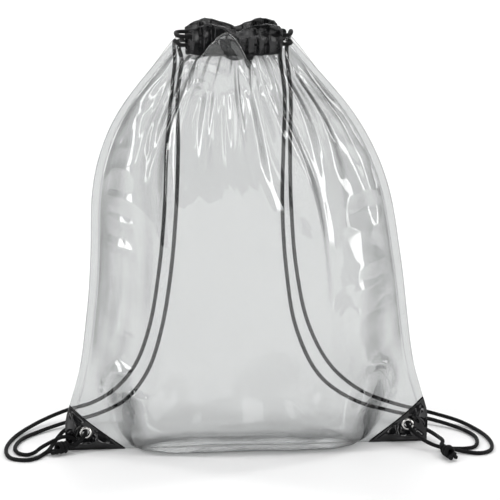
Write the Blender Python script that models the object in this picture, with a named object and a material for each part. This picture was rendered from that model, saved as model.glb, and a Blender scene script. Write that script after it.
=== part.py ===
"""Clear drawstring shoe bag, drawn closed and standing filled out on its base.

Frame: metres, +Z up, +X to the right, the front of the bag faces -Y.
Origin: on the floor, under the middle of the bottom seam.
"""

import math

import bmesh
import bpy
from mathutils import Matrix, Vector

# ---- Driving dimensions -------------------------------------------------------------
BAG_WIDTH = 0.369  # corner to corner along the bottom seam
SEAM_TOP = 0.408  # height of the film's upper corners, at the end of each side seam
NECK_TOP = 0.398  # height of the film's upper edge under the casings
NECK_SHIFT = -0.014  # the drawn neck leans to the bag's right-hand side
SEAM_MARGIN = 0.008  # flat welded margin along each side seam
FILM = 0.0005  # clear PVC film
GAP = 0.0003  # between pieces that touch

CASING_LENGTH = 0.092  # the drawstring tunnel, gathered
CASING_HEIGHT = 0.035
CASING_DEPTH = 0.020
CASING_WALL = 0.0007
MOUTH_GAP = 0.016  # between the two casings
RUFFLES = 7

PATCH_WIDTH = 0.060  # the corner patches' two short sides
PATCH_HEIGHT = 0.047
PATCH = 0.0006
EYELET_INSET = 0.020  # eyelet centre from the side seam
EYELET_HEIGHT = 0.0183  # and over the floor
EYELET_BORE = 0.0033
EYELET_FLANGE = 0.0063
BARREL = 0.0006

CORD = 0.004  # diameter of the round cord
KNOT_RADIUS = 0.007
KNOT_LENGTH = 0.015

# ---- Shape of the filled bag --------------------------------------------------------
# (height, half width) of the side seam's outer edge
OUTLINE = (
    (0.000, 0.1845),
    (0.030, 0.1845),
    (0.054, 0.1780),
    (0.088, 0.1688),
    (0.145, 0.1610),
    (0.200, 0.1552),
    (0.264, 0.1480),
    (0.305, 0.1360),
    (0.343, 0.1163),
    (0.385, 0.0831),
    (0.408, 0.0610),
)
# (depth, height) of the middle of a panel, from the bottom seam to the neck
BASE_DEPTH = 0.020
PROFILE = (
    (BASE_DEPTH, 0.000),
    (0.035, 0.006),
    (0.046, 0.028),
    (0.053, 0.075),
    (0.057, 0.140),
    (0.056, 0.210),
    (0.051, 0.275),
    (0.042, 0.330),
    (0.032, 0.367),
    (0.022, 0.389),
    (0.0125, NECK_TOP),
)
FLAT_BASE = 0.58  # share of the half width over which the base lies flat
UPRIGHT = 0.84  # and from which the film stands upright on its bottom seam
SEWN_CORNER = 0.066  # the panels lie flat together this far from a bottom corner
CORNER_OPENS = 0.070  # and reach their full depth over this further distance

# Heights along the side seam at which the film has a row of points
ROWS = (0, 6, 12, 18, 26, 36, 48, 62, 82, 108, 140, 175, 210, 244, 272, 298, 320, 342, 362, 378, 390, 400, 408)
# Places across the film, as shares of the half width inside the seam margin
COLUMNS = (0, 0.24, 0.44, 0.60, 0.72, 0.82, 0.90, 0.96, 1)

MM = 0.001
HALF_WIDTH = BAG_WIDTH / 2
CORD_RADIUS = CORD / 2
CASING_Y = MOUTH_GAP / 2 + CASING_DEPTH / 2
CASING_Z = NECK_TOP + 0.001 + CASING_HEIGHT / 2
HINGE_Y = 0.0125  # the casings fold about the film's upper edge
HINGE_Z = NECK_TOP + 0.0005
LEFT, RIGHT = -1, 1
FRONT, BACK = -1, 1

# Where each cord runs in the casings: the left cord below the right one
CORD_Z = {LEFT: 0.4130, RIGHT: 0.4215}
RUN_END = 0.0480  # of a cord's run in a casing, from the neck's middle


# ---- Helpers ------------------------------------------------------------------------
def smoothstep(x):
    x = min(max(x, 0.0), 1.0)
    return x * x * (3 - 2 * x)


def curve_through(points, steps=12):
    """Points along a smooth centripetal curve through the given ones."""
    points = [Vector(p) for p in points]
    ends = [2 * points[0] - points[1]] + points + [2 * points[-1] - points[-2]]
    found = []
    for a, b, c, d in zip(ends, ends[1:], ends[2:], ends[3:]):
        ab, bc, cd = ((q - p).length ** 0.5 for p, q in ((a, b), (b, c), (c, d)))
        leave = ((b - a) / ab - (c - a) / (ab + bc) + (c - b) / bc) * bc
        arrive = ((c - b) / bc - (d - b) / (bc + cd) + (d - c) / cd) * bc
        for i in range(steps):
            t = i / steps
            t2, t3 = t * t, t * t * t
            found.append(
                (2 * t3 - 3 * t2 + 1) * b
                + (t3 - 2 * t2 + t) * leave
                + (3 * t2 - 2 * t3) * c
                + (t3 - t2) * arrive
            )
    return found + [points[-1]]


def evenly(points, count):
    """count points at equal distances along a line of points."""
    along = [0.0]
    for a, b in zip(points, points[1:]):
        along.append(along[-1] + (b - a).length)
    found, k = [], 0
    for i in range(count):
        at = along[-1] * i / (count - 1)
        while k < len(points) - 2 and along[k + 1] < at:
            k += 1
        share = (at - along[k]) / (along[k + 1] - along[k])
        found.append(points[k].lerp(points[k + 1], min(max(share, 0.0), 1.0)))
    return found


def at_height(table, height):
    """The second value of a fine (height, value) curve at a height."""
    for a, b in zip(table, table[1:]):
        if height <= b[0]:
            share = (height - a[0]) / max(b[0] - a[0], 1e-9)
            return a[1] + (b[1] - a[1]) * max(share, 0.0)
    return table[-1][1]


OUTLINE_FINE = [(p.x, p.y) for p in curve_through([(h, w, 0) for h, w in OUTLINE])]
BASE_LINE = [Vector((0, 0, 0)), Vector((BASE_DEPTH / 2, 0, 0))]
PROFILE_FINE = BASE_LINE + curve_through([(d, h, 0) for d, h in PROFILE])


def profile_at(share):
    """(depth, height) at a share of the length of the panel's middle line."""
    along = [0.0]
    for a, b in zip(PROFILE_FINE, PROFILE_FINE[1:]):
        along.append(along[-1] + (b - a).length)
    at = along[-1] * share
    for k, (low, high) in enumerate(zip(along, along[1:])):
        if at <= high or k == len(along) - 2:
            point = PROFILE_FINE[k].lerp(PROFILE_FINE[k + 1], min((at - low) / (high - low), 1))
            return point.x, point.y


def neck_lean(height):
    """How far the middle of the bag lies from X = 0 at a height."""
    return NECK_SHIFT * smoothstep((height - 0.150) / 0.250)


def film_point(side, x_share, height, outward=0.0):
    """A point on the middle of a panel's film.

    x_share is from -1 to 1 over the whole width, height is along the side seam, and
    outward is how far the point lies off the film's own mid-surface.
    """
    half = at_height(OUTLINE_FINE, height)
    inside = half - SEAM_MARGIN
    x = half * x_share
    s = min(abs(x) / inside, 1.0)
    depth, middle_height = profile_at(height / SEAM_TOP)
    fullness = (1 - s**2.6) ** 0.85 if s < 1 else 0.0
    from_corner = (half - abs(x)) + height
    opened = smoothstep((from_corner - SEWN_CORNER) / CORNER_OPENS)
    middle = 1 - smoothstep((s - FLAT_BASE) / (UPRIGHT - FLAT_BASE))
    # Above the base the middle's own height takes over gradually across the width.
    above = smoothstep((height - 0.060) / 0.100)
    middle = middle * (1 - above) + (1 - s * s) * above
    # At the neck the edge is level except by the seams.
    at_neck = smoothstep((height - 0.330) / 0.060)
    middle = middle * (1 - at_neck) + (1 - smoothstep((s - 0.78) / 0.22)) * at_neck
    y = side * (GAP / 2 + FILM / 2 + outward + depth * fullness * opened)
    z = FILM / 2 + height * (1 - middle) + middle_height * middle
    return Vector((x + neck_lean(height), y, z))


# ---- Building objects ---------------------------------------------------------------
def material(name, colour, roughness, metallic=0.0, alpha=1.0):
    made = bpy.data.materials.new(name)
    made.use_nodes = True
    shader = made.node_tree.nodes["Principled BSDF"]
    shader.inputs["Base Color"].default_value = (*colour, 1)
    shader.inputs["Roughness"].default_value = roughness
    shader.inputs["Metallic"].default_value = metallic
    shader.inputs["Alpha"].default_value = alpha
    return made


def add_object(name, data, finish):
    made = bpy.data.objects.new(name, data)
    bpy.context.collection.objects.link(made)
    if finish:
        made.data.materials.append(finish)
    return made


def mesh_object(name, bm, finish, smooth=True):
    mesh = bpy.data.meshes.new(name)
    bmesh.ops.recalc_face_normals(bm, faces=bm.faces)
    bm.to_mesh(mesh)
    bm.free()
    made = add_object(name, mesh, finish)
    if smooth:
        mesh.shade_smooth()
        mesh.set_sharp_from_angle(angle=math.radians(40))
    return made


def grid_sheet(name, rows, finish, thickness):
    """A sheet through rows of points, given its thickness by Solidify."""
    bm = bmesh.new()
    verts = [[bm.verts.new(p) for p in row] for row in rows]
    for low, high in zip(verts, verts[1:]):
        for i in range(len(low) - 1):
            bm.faces.new((low[i], low[i + 1], high[i + 1], high[i]))
    made = mesh_object(name, bm, finish)
    solid = made.modifiers.new("thickness", "SOLIDIFY")
    solid.thickness = thickness
    solid.offset = 0
    return made


def cutter_at(x):
    """A rod that cuts an eyelet's hole through the film and the patches."""
    bm = bmesh.new()
    bmesh.ops.create_cone(
        bm,
        cap_ends=True,
        segments=24,
        radius1=EYELET_BORE + BARREL + GAP,
        radius2=EYELET_BORE + BARREL + GAP,
        depth=0.020,
        matrix=Matrix.Translation((x, 0, EYELET_HEIGHT)) @ Matrix.Rotation(math.pi / 2, 4, "X"),
    )
    made = mesh_object("eyelet_cutter", bm, None)
    made.hide_render = True
    made.display_type = "WIRE"
    return made


def cut(obj, cutters):
    for cutter in cutters:
        hole = obj.modifiers.new("hole", "BOOLEAN")
        hole.operation = "DIFFERENCE"
        hole.object = cutter


def turned(name, profile, x, finish, steps=28):
    """A ring turned about the Y axis through an eyelet's centre, from (radius, y) points."""
    bm = bmesh.new()
    centre = Vector((x, 0, EYELET_HEIGHT))
    verts = [bm.verts.new(centre + Vector((r, y, 0))) for r, y in profile]
    edges = [bm.edges.new((a, b)) for a, b in zip(verts, verts[1:] + verts[:1])]
    bmesh.ops.spin(
        bm,
        geom=verts + edges,
        cent=centre,
        axis=(0, 1, 0),
        angle=2 * math.pi,
        steps=steps,
        use_merge=True,
    )
    bmesh.ops.remove_doubles(bm, verts=bm.verts, dist=1e-6)
    return mesh_object(name, bm, finish)


# ---- The bag's pieces ---------------------------------------------------------------
def panel(name, side, finish, cutters):
    shares = [-1] + [-c for c in reversed(COLUMNS)][:-1] + list(COLUMNS) + [1]
    rows = []
    for height in (h * MM for h in ROWS):
        half = at_height(OUTLINE_FINE, height)
        inside = (half - SEAM_MARGIN) / half
        places = [-1] + [s * inside for s in shares[1:-1]] + [1]
        rows.append([film_point(side, place, height) for place in places])
    made = grid_sheet(name, rows, finish, FILM)
    cut(made, cutters)
    return made


def corner_patch(name, side, hand, finish, cutter):
    """A triangle of black PVC over a bottom corner, curved as the film under it."""
    divisions = 9
    outward = FILM / 2 + GAP + PATCH / 2
    bm = bmesh.new()
    verts = {}
    for i in range(divisions + 1):
        for j in range(divisions + 1 - i):
            height = PATCH_HEIGHT * i / divisions
            from_side = PATCH_WIDTH * j / divisions
            half = at_height(OUTLINE_FINE, height)
            share = hand * (half - from_side) / half
            verts[i, j] = bm.verts.new(film_point(side, share, height, outward))
    for i in range(divisions):
        for j in range(divisions - i):
            bm.faces.new((verts[i, j], verts[i, j + 1], verts[i + 1, j]))
            if i + j < divisions - 1:
                bm.faces.new((verts[i, j + 1], verts[i + 1, j + 1], verts[i + 1, j]))
    made = mesh_object(name, bm, finish)
    solid = made.modifiers.new("thickness", "SOLIDIFY")
    solid.thickness = PATCH
    solid.offset = 0
    cut(made, [cutter])
    return made


def eyelet_pieces(label, x, finish):
    """The flanged barrel, set from the front, and the washer that it is rolled over."""
    face = GAP / 2 + FILM + GAP + PATCH + GAP
    bore, outside = EYELET_BORE, EYELET_BORE + BARREL
    flange = 0.0010
    washer = 0.0007
    back = face + washer + GAP
    barrel = (
        (bore, -face - flange * 0.5),
        (bore + 0.0009, -face - flange),
        (EYELET_FLANGE - 0.0011, -face - flange),
        (EYELET_FLANGE - 0.0002, -face - flange * 0.55),
        (EYELET_FLANGE, -face),
        (outside, -face),
        (outside, back),
        (outside + 0.0013, back),
        (outside + 0.0011, back + 0.0006),
        (bore + 0.0003, back + 0.0007),
        (bore, back + 0.0002),
    )
    ring = (
        (outside + 0.0002, face),
        (EYELET_FLANGE, face),
        (EYELET_FLANGE - 0.0003, face + washer),
        (outside + 0.0002, face + washer),
    )
    turned(label + "_eyelet", barrel, x, finish)
    turned(label + "_eyelet_washer", ring, x, finish)


def casing(name, side, finish):
    """One hemmed tunnel of the drawstring: a flattened sleeve, gathered into ruffles."""
    around, per_ruffle = 12, 4
    rings = RUFFLES * per_ruffle + 1

    def ring(bm, i, inset):
        share = i / (rings - 1)
        swell = 0.5 - 0.5 * math.cos(2 * math.pi * RUFFLES * share)
        half_depth = CASING_DEPTH / 2 * (0.62 + 0.38 * swell) - inset
        half_height = CASING_HEIGHT / 2 * (0.86 + 0.14 * swell) - inset
        x = NECK_SHIFT + CASING_LENGTH * (share - 0.5)
        made = []
        for k in range(around):
            a = 2 * math.pi * k / around
            y = half_depth * math.copysign(abs(math.cos(a)) ** 0.8, math.cos(a))
            z = half_height * math.copysign(abs(math.sin(a)) ** 0.8, math.sin(a))
            made.append(bm.verts.new((x, side * CASING_Y + y, CASING_Z + z)))
        return made

    bm = bmesh.new()
    outer = [ring(bm, i, 0.0) for i in range(rings)]
    inner = [ring(bm, i, CASING_WALL) for i in range(rings)]
    for skin in (outer, inner):
        for a, b in zip(skin, skin[1:]):
            for k in range(around):
                n = (k + 1) % around
                bm.faces.new((a[k], a[n], b[n], b[k]))
    for end in (0, -1):
        for k in range(around):
            n = (k + 1) % around
            bm.faces.new((outer[end][k], outer[end][n], inner[end][n], inner[end][k]))
    return mesh_object(name, bm, finish)


def cord_piece(name, points, finish, spacing=0.0085, leads=0):
    """A round cord along a smooth curve through the route's points.

    leads is how many of its ends, from the first, have a straight lead.
    """
    fine = curve_through(points[min(leads, 1) : len(points) - max(leads - 1, 0)])
    length = sum((b - a).length for a, b in zip(fine, fine[1:]))
    line = evenly(fine, max(4, round(length / spacing) + 1))
    if leads > 0:
        line.insert(0, Vector(points[0]))
    if leads > 1:
        line.append(Vector(points[-1]))
    data = bpy.data.curves.new(name, "CURVE")
    data.dimensions = "3D"
    data.bevel_depth = CORD_RADIUS
    data.bevel_resolution = 2
    data.use_fill_caps = True
    spline = data.splines.new("POLY")
    spline.points.add(len(line) - 1)
    for point, place in zip(spline.points, line):
        point.co = (*place, 1)
    return add_object(name, data, finish)


def knot(name, centre, towards, finish):
    """The plain outer shape of the knot that ties a cord's two ends."""
    bm = bmesh.new()
    turn = Vector(towards).to_track_quat("Z", "Y").to_matrix().to_4x4()
    bmesh.ops.create_cone(
        bm,
        cap_ends=True,
        segments=16,
        radius1=KNOT_RADIUS,
        radius2=KNOT_RADIUS,
        depth=KNOT_LENGTH,
        matrix=Matrix.Translation(centre) @ turn,
    )
    made = mesh_object(name, bm, finish)
    rounded = made.modifiers.new("rounded", "BEVEL")
    rounded.width = 0.0018
    rounded.segments = 2
    rounded.limit_method = "ANGLE"
    return made


# ---- Routes of the cords ------------------------------------------------------------
# Each cord leaves both casings at its own side, hangs down behind the bag as two
# strands, and lies slack on the floor beside it. One strand goes through the eyelet and
# round the corner, and a knot ties its end to the other strand's.
# The ways out of the casings are (outwards from the neck's middle, y, above the run).
EXIT = {
    "front": (
        (0.0486, -0.0180, 0.0000),
        (0.0512, -0.0180, 0.0000),
        (0.0537, -0.0160, 0.0005),
        (0.0560, -0.0085, 0.0015),
        (0.0570, 0.0030, 0.0015),
        (0.0570, 0.0140, -0.0020),
        (0.0565, 0.0235, -0.0100),
        (0.0555, 0.0290, -0.0200),
    ),
    "back": (
        (0.0486, 0.0180, 0.0000),
        (0.0512, 0.0180, 0.0000),
        (0.0525, 0.0210, -0.0020),
        (0.0515, 0.0265, -0.0100),
        (0.0490, 0.0305, -0.0200),
    ),
}
TURN = (
    (0.0486, -0.0180, 0.0000),
    (0.0512, -0.0180, 0.0000),
    (0.0548, -0.0130, 0.0000),
    (0.0560, 0.0000, 0.0000),
    (0.0548, 0.0130, 0.0000),
    (0.0512, 0.0180, 0.0000),
    (0.0486, 0.0180, 0.0000),
)
LEFT_FRONT = (
    (-0.0732, 0.0365, 0.3550),
    (-0.0775, 0.0480, 0.3000),
    (-0.0800, 0.0555, 0.2350),
    (-0.0860, 0.0605, 0.1700),
    (-0.0960, 0.0670, 0.1100),
    (-0.1110, 0.0800, 0.0650),
    (-0.1320, 0.0920, 0.0360),
    (-0.1560, 0.0990, 0.0195),
    (-0.1826, 0.0993, 0.0118),
    (-0.2090, 0.0830, 0.0060),
    (-0.2366, 0.0406, 0.0022),
    (-0.2449, -0.0050, 0.0022),
    (-0.2385, -0.0296, 0.0022),
    (-0.2235, -0.0357, 0.0022),
    (-0.2140, -0.0300, 0.0022),
    (-0.2070, -0.0180, 0.0022),
    (-0.2020, -0.0060, 0.0022),
    (-0.1975, 0.0040, 0.0050),
    (-0.1920, 0.0100, 0.0110),
    (-0.1850, 0.0130, 0.0170),
    (-0.1770, 0.0130, 0.0195),
    (-0.1690, 0.0100, 0.0190),
    (-0.1645, 0.0040, 0.0183),
    (-0.1645, -0.0035, 0.0183),
    (-0.1665, -0.0085, 0.0165),
    (-0.1710, -0.0110, 0.0120),
    (-0.1749, -0.0109, 0.0086),
    (-0.1776, -0.0122, 0.0075),
    (-0.1803, -0.0135, 0.0075),
)
LEFT_BACK = (
    (-0.0668, 0.0375, 0.3550),
    (-0.0660, 0.0495, 0.3000),
    (-0.0680, 0.0570, 0.2350),
    (-0.0735, 0.0610, 0.1700),
    (-0.0830, 0.0650, 0.1100),
    (-0.0980, 0.0740, 0.0600),
    (-0.1210, 0.0830, 0.0270),
    (-0.1500, 0.0850, 0.0115),
    (-0.1829, 0.0780, 0.0052),
    (-0.2100, 0.0580, 0.0026),
    (-0.2290, 0.0334, 0.0022),
    (-0.2360, 0.0030, 0.0022),
    (-0.2310, -0.0150, 0.0022),
    (-0.2227, -0.0190, 0.0022),
    (-0.2165, -0.0170, 0.0035),
    (-0.2100, -0.0130, 0.0070),
    (-0.2030, -0.0095, 0.0100),
    (-0.1960, -0.0065, 0.0125),
    (-0.1890, -0.0048, 0.0150),
    (-0.1825, -0.0042, 0.0153),
    (-0.1770, -0.0042, 0.0130),
    (-0.1752, -0.0052, 0.0096),
    (-0.1768, -0.0067, 0.0077),
    (-0.1797, -0.0079, 0.0075),
    (-0.1824, -0.0092, 0.0075),
)
RIGHT_FRONT = (
    (0.0467, 0.0365, 0.3550),
    (0.0476, 0.0490, 0.3000),
    (0.0500, 0.0575, 0.2350),
    (0.0560, 0.0615, 0.1700),
    (0.0690, 0.0645, 0.1100),
    (0.0940, 0.0690, 0.0620),
    (0.1270, 0.0720, 0.0330),
    (0.1620, 0.0710, 0.0185),
    (0.1956, 0.0636, 0.0110),
    (0.2248, 0.0500, 0.0050),
    (0.2390, 0.0310, 0.0022),
    (0.2472, -0.0017, 0.0022),
    (0.2465, -0.0317, 0.0022),
    (0.2403, -0.0475, 0.0022),
    (0.2296, -0.0530, 0.0022),
    (0.2152, -0.0480, 0.0026),
    (0.2060, -0.0445, 0.0040),
    (0.2000, -0.0450, 0.0062),
    (0.1960, -0.0484, 0.0075),
    (0.1967, -0.0513, 0.0075),
)
RIGHT_BACK = (
    (0.0407, 0.0380, 0.3550),
    (0.0410, 0.0505, 0.3000),
    (0.0410, 0.0585, 0.2350),
    (0.0455, 0.0620, 0.1700),
    (0.0565, 0.0645, 0.1050),
    (0.0820, 0.0680, 0.0520),
    (0.1180, 0.0690, 0.0245),
    (0.1570, 0.0645, 0.0125),
    (0.1941, 0.0543, 0.0065),
    (0.2216, 0.0322, 0.0030),
    (0.2337, 0.0096, 0.0022),
    (0.2351, -0.0108, 0.0022),
    (0.2277, -0.0330, 0.0022),
    (0.2180, -0.0370, 0.0022),
    (0.2090, -0.0374, 0.0025),
    (0.2020, -0.0385, 0.0032),
    (0.1950, -0.0390, 0.0045),
    (0.1870, -0.0380, 0.0065),
    (0.1783, -0.0325, 0.0095),
    (0.1700, -0.0200, 0.0135),
    (0.1655, -0.0090, 0.0170),
    (0.1645, -0.0035, 0.0183),
    (0.1645, 0.0035, 0.0183),
    (0.1665, 0.0085, 0.0183),
    (0.1720, 0.0115, 0.0155),
    (0.1785, 0.0115, 0.0120),
    (0.1850, 0.0090, 0.0090),
    (0.1892, 0.0030, 0.0080),
    (0.1925, -0.0080, 0.0080),
    (0.1942, -0.0200, 0.0090),
    (0.1948, -0.0310, 0.0105),
    (0.1945, -0.0385, 0.0108),
    (0.1920, -0.0450, 0.0090),
    (0.1914, -0.0496, 0.0075),
    (0.1921, -0.0525, 0.0075),
)
STRANDS = {
    LEFT: {"front": LEFT_FRONT, "back": LEFT_BACK},
    RIGHT: {"front": RIGHT_FRONT, "back": RIGHT_BACK},
}
# (middle, direction from the standing ends to the cut ends)
KNOTS = {
    LEFT: ((-0.1890, -0.0150, 0.0075), (-0.90, -0.43, 0)),
    RIGHT: ((0.1965, -0.0600, 0.0075), (0.25, -0.97, 0)),
}


def by_the_neck(points, hand, height):
    """Points given outwards from the neck's middle, at one side, in world metres."""
    return [(NECK_SHIFT + hand * out, y, height + up) for out, y, up in points]


def hinge(name, side):
    """The axis along the film's upper edge about which a casing folds outwards."""
    made = bpy.data.objects.new(name, None)
    bpy.context.collection.objects.link(made)
    made.empty_display_size = 0.02
    made.location = (NECK_SHIFT, side * HINGE_Y, HINGE_Z)
    return made


def ride(piece, axis):
    piece.parent = axis
    piece.matrix_parent_inverse = Matrix.Translation(axis.location).inverted()


# ---- The bag ------------------------------------------------------------------------
for old in list(bpy.data.objects):
    bpy.data.objects.remove(old)

film = material("clear_pvc_film", (0.86, 0.88, 0.89), 0.08, alpha=0.25)
satin = material("black_polyester_hem", (0.012, 0.012, 0.013), 0.42)
patch_pvc = material("black_pvc", (0.010, 0.010, 0.011), 0.22)
nickel = material("nickel_plated_brass", (0.72, 0.71, 0.69), 0.22, metallic=1.0)
braid = material("black_braided_cord", (0.014, 0.014, 0.015), 0.80)

eyelet_x = HALF_WIDTH - EYELET_INSET
cutters = {hand: cutter_at(hand * eyelet_x) for hand in (LEFT, RIGHT)}
hands = {LEFT: "left", RIGHT: "right"}
sides = {FRONT: "front", BACK: "back"}

for side, side_name in sides.items():
    panel(side_name + "_panel", side, film, cutters.values())
    axis = hinge("mouth_" + side_name + "_axis", side)
    ride(casing(side_name + "_casing", side, satin), axis)
    for hand, hand_name in hands.items():
        label = f"{hand_name}_{side_name}_corner_patch"
        corner_patch(label, side, hand, patch_pvc, cutters[hand])
        height = CORD_Z[hand]
        ends = [(NECK_SHIFT + end * RUN_END, side * CASING_Y, height) for end in (-1, 1)]
        run = cord_piece(f"{hand_name}_cord_{side_name}_run", ends, braid, 0.012)
        ride(run, axis)
        route = by_the_neck(EXIT[side_name], hand, height)
        route += STRANDS[hand][side_name]
        cord_piece(f"{hand_name}_cord_{side_name}_strand", route, braid, leads=2)

for hand, hand_name in hands.items():
    eyelet_pieces(hand_name, hand * eyelet_x, nickel)
    turn = by_the_neck(TURN, -hand, CORD_Z[hand])
    cord_piece(hand_name + "_cord_turn", turn, braid, 0.006, leads=2)
    knot(hand_name + "_cord_knot", *KNOTS[hand], braid)
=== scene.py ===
"""Looks of the clear drawstring shoe bag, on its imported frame."""

import math
import bmesh
import bpy
import numpy as np
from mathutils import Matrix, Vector


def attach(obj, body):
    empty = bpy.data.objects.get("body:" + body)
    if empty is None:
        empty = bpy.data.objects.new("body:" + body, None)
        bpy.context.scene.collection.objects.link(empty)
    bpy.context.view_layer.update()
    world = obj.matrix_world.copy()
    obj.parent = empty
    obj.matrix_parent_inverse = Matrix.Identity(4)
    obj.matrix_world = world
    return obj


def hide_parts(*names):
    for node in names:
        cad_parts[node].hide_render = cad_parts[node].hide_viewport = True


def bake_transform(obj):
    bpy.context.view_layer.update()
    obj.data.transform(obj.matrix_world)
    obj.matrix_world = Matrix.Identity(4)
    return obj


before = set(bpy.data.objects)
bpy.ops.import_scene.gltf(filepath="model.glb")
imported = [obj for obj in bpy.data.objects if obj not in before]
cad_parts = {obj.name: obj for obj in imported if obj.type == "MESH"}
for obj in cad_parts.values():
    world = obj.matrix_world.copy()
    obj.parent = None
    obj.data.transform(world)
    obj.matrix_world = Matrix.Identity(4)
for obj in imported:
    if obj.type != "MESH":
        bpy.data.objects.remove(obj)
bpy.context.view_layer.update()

LEFT, RIGHT = -1, 1
FRONT, BACK = -1, 1  # the front faces -Y
HANDS = {LEFT: "left", RIGHT: "right"}
SIDES = {FRONT: "front", BACK: "back"}

# ---- Camera -------------------------------------------------------------------------
AZIMUTH, ELEVATION, DISTANCE = math.radians(-5), math.radians(13), 2.2
AIM = Vector((0, 0, 0.2))
back = Vector((math.sin(AZIMUTH), -math.cos(AZIMUTH), math.tan(ELEVATION))).normalized()
eye = bpy.data.cameras.new("camera")
eye.lens = 158.4
eye.sensor_width = 36
eye.shift_x = 0.005
eye.shift_y = 0.0081
eye.clip_end = 50
camera = bpy.data.objects.new("camera", eye)
bpy.context.collection.objects.link(camera)
camera.location = AIM + back * DISTANCE
camera.rotation_euler = back.to_track_quat("Z", "Y").to_euler()
bpy.context.scene.camera = camera

# ---- Dimensions of the frame --------------------------------------------------------
BAG_WIDTH = 0.369
SEAM_TOP = 0.408
NECK_TOP = 0.398
NECK_SHIFT = -0.014
SEAM_MARGIN = 0.008
SEWN_CORNER, CORNER_OPENS = 0.066, 0.070
FLAT_BASE, UPRIGHT = 0.58, 0.84
BASE_DEPTH = 0.020
GAP = 0.0003
SOLID_FILM = 0.0005
CASING_LENGTH = 0.092
PATCH_WIDTH, PATCH_HEIGHT, PATCH_THICK = 0.060, 0.047, 0.0006
EYELET_X = BAG_WIDTH / 2 - 0.020
EYELET_HEIGHT = 0.0183
EYELET_BORE, EYELET_FLANGE, BARREL = 0.0033, 0.0063, 0.0006
CORD_RADIUS = 0.002
CORD_Z = {LEFT: 0.4130, RIGHT: 0.4215}
RUN_Y, RUN_END = 0.018, 0.0482
# (height, half width) of the side seam's outer edge
OUTLINE = (
    (0.000, 0.1845),
    (0.030, 0.1845),
    (0.054, 0.1780),
    (0.088, 0.1688),
    (0.145, 0.1610),
    (0.200, 0.1552),
    (0.264, 0.1480),
    (0.305, 0.1360),
    (0.343, 0.1163),
    (0.385, 0.0831),
    (0.408, 0.0610),
)
# (depth, height) of the middle of a panel, from the bottom seam to the neck
PROFILE = (
    (BASE_DEPTH, 0.000),
    (0.035, 0.006),
    (0.046, 0.028),
    (0.053, 0.075),
    (0.057, 0.140),
    (0.056, 0.210),
    (0.051, 0.275),
    (0.042, 0.330),
    (0.032, 0.367),
    (0.022, 0.389),
    (0.0125, NECK_TOP),
)


# ---- Curves -------------------------------------------------------------------------
def curve_through(points, steps=12):
    """Points along a smooth centripetal curve through the given ones."""
    points = [Vector(p) for p in points]
    ends = [2 * points[0] - points[1]] + points + [2 * points[-1] - points[-2]]
    found = []
    for a, b, c, d in zip(ends, ends[1:], ends[2:], ends[3:]):
        ab, bc, cd = ((q - p).length ** 0.5 for p, q in ((a, b), (b, c), (c, d)))
        leave = ((b - a) / ab - (c - a) / (ab + bc) + (c - b) / bc) * bc
        arrive = ((c - b) / bc - (d - b) / (bc + cd) + (d - c) / cd) * bc
        for i in range(steps):
            t = i / steps
            t2, t3 = t * t, t * t * t
            found.append(
                (2 * t3 - 3 * t2 + 1) * b
                + (t3 - 2 * t2 + t) * leave
                + (3 * t2 - 2 * t3) * c
                + (t3 - t2) * arrive
            )
    return found + [points[-1]]


def evenly(points, count):
    """count points at equal distances along a line of points."""
    line = np.array([p[:] for p in points])
    along = np.concatenate([[0], np.cumsum(np.linalg.norm(np.diff(line, axis=0), axis=1))])
    at = np.linspace(0, along[-1], count)
    return np.stack([np.interp(at, along, line[:, i]) for i in range(3)], axis=1)


def length_of(line):
    """Along a line of points."""
    line = np.array([p[:] for p in line])
    return float(np.linalg.norm(np.diff(line, axis=0), axis=1).sum())


def smooth(x):
    """0 below 0, 1 above 1, and an even curve between."""
    x = np.clip(x, 0, 1)
    return x * x * (3 - 2 * x)


def noise2(x, y, seed):
    """Smooth value noise from -1 to 1, with one lattice point per unit."""
    table = np.random.default_rng(seed).uniform(-1, 1, (64, 64))
    x0, y0 = np.floor(x).astype(int), np.floor(y).astype(int)
    u, v = smooth(x - x0), smooth(y - y0)
    a, b = table[x0 % 64, y0 % 64], table[(x0 + 1) % 64, y0 % 64]
    c, d = table[x0 % 64, (y0 + 1) % 64], table[(x0 + 1) % 64, (y0 + 1) % 64]
    return (a * (1 - u) + b * u) * (1 - v) + (c * (1 - u) + d * u) * v


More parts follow.
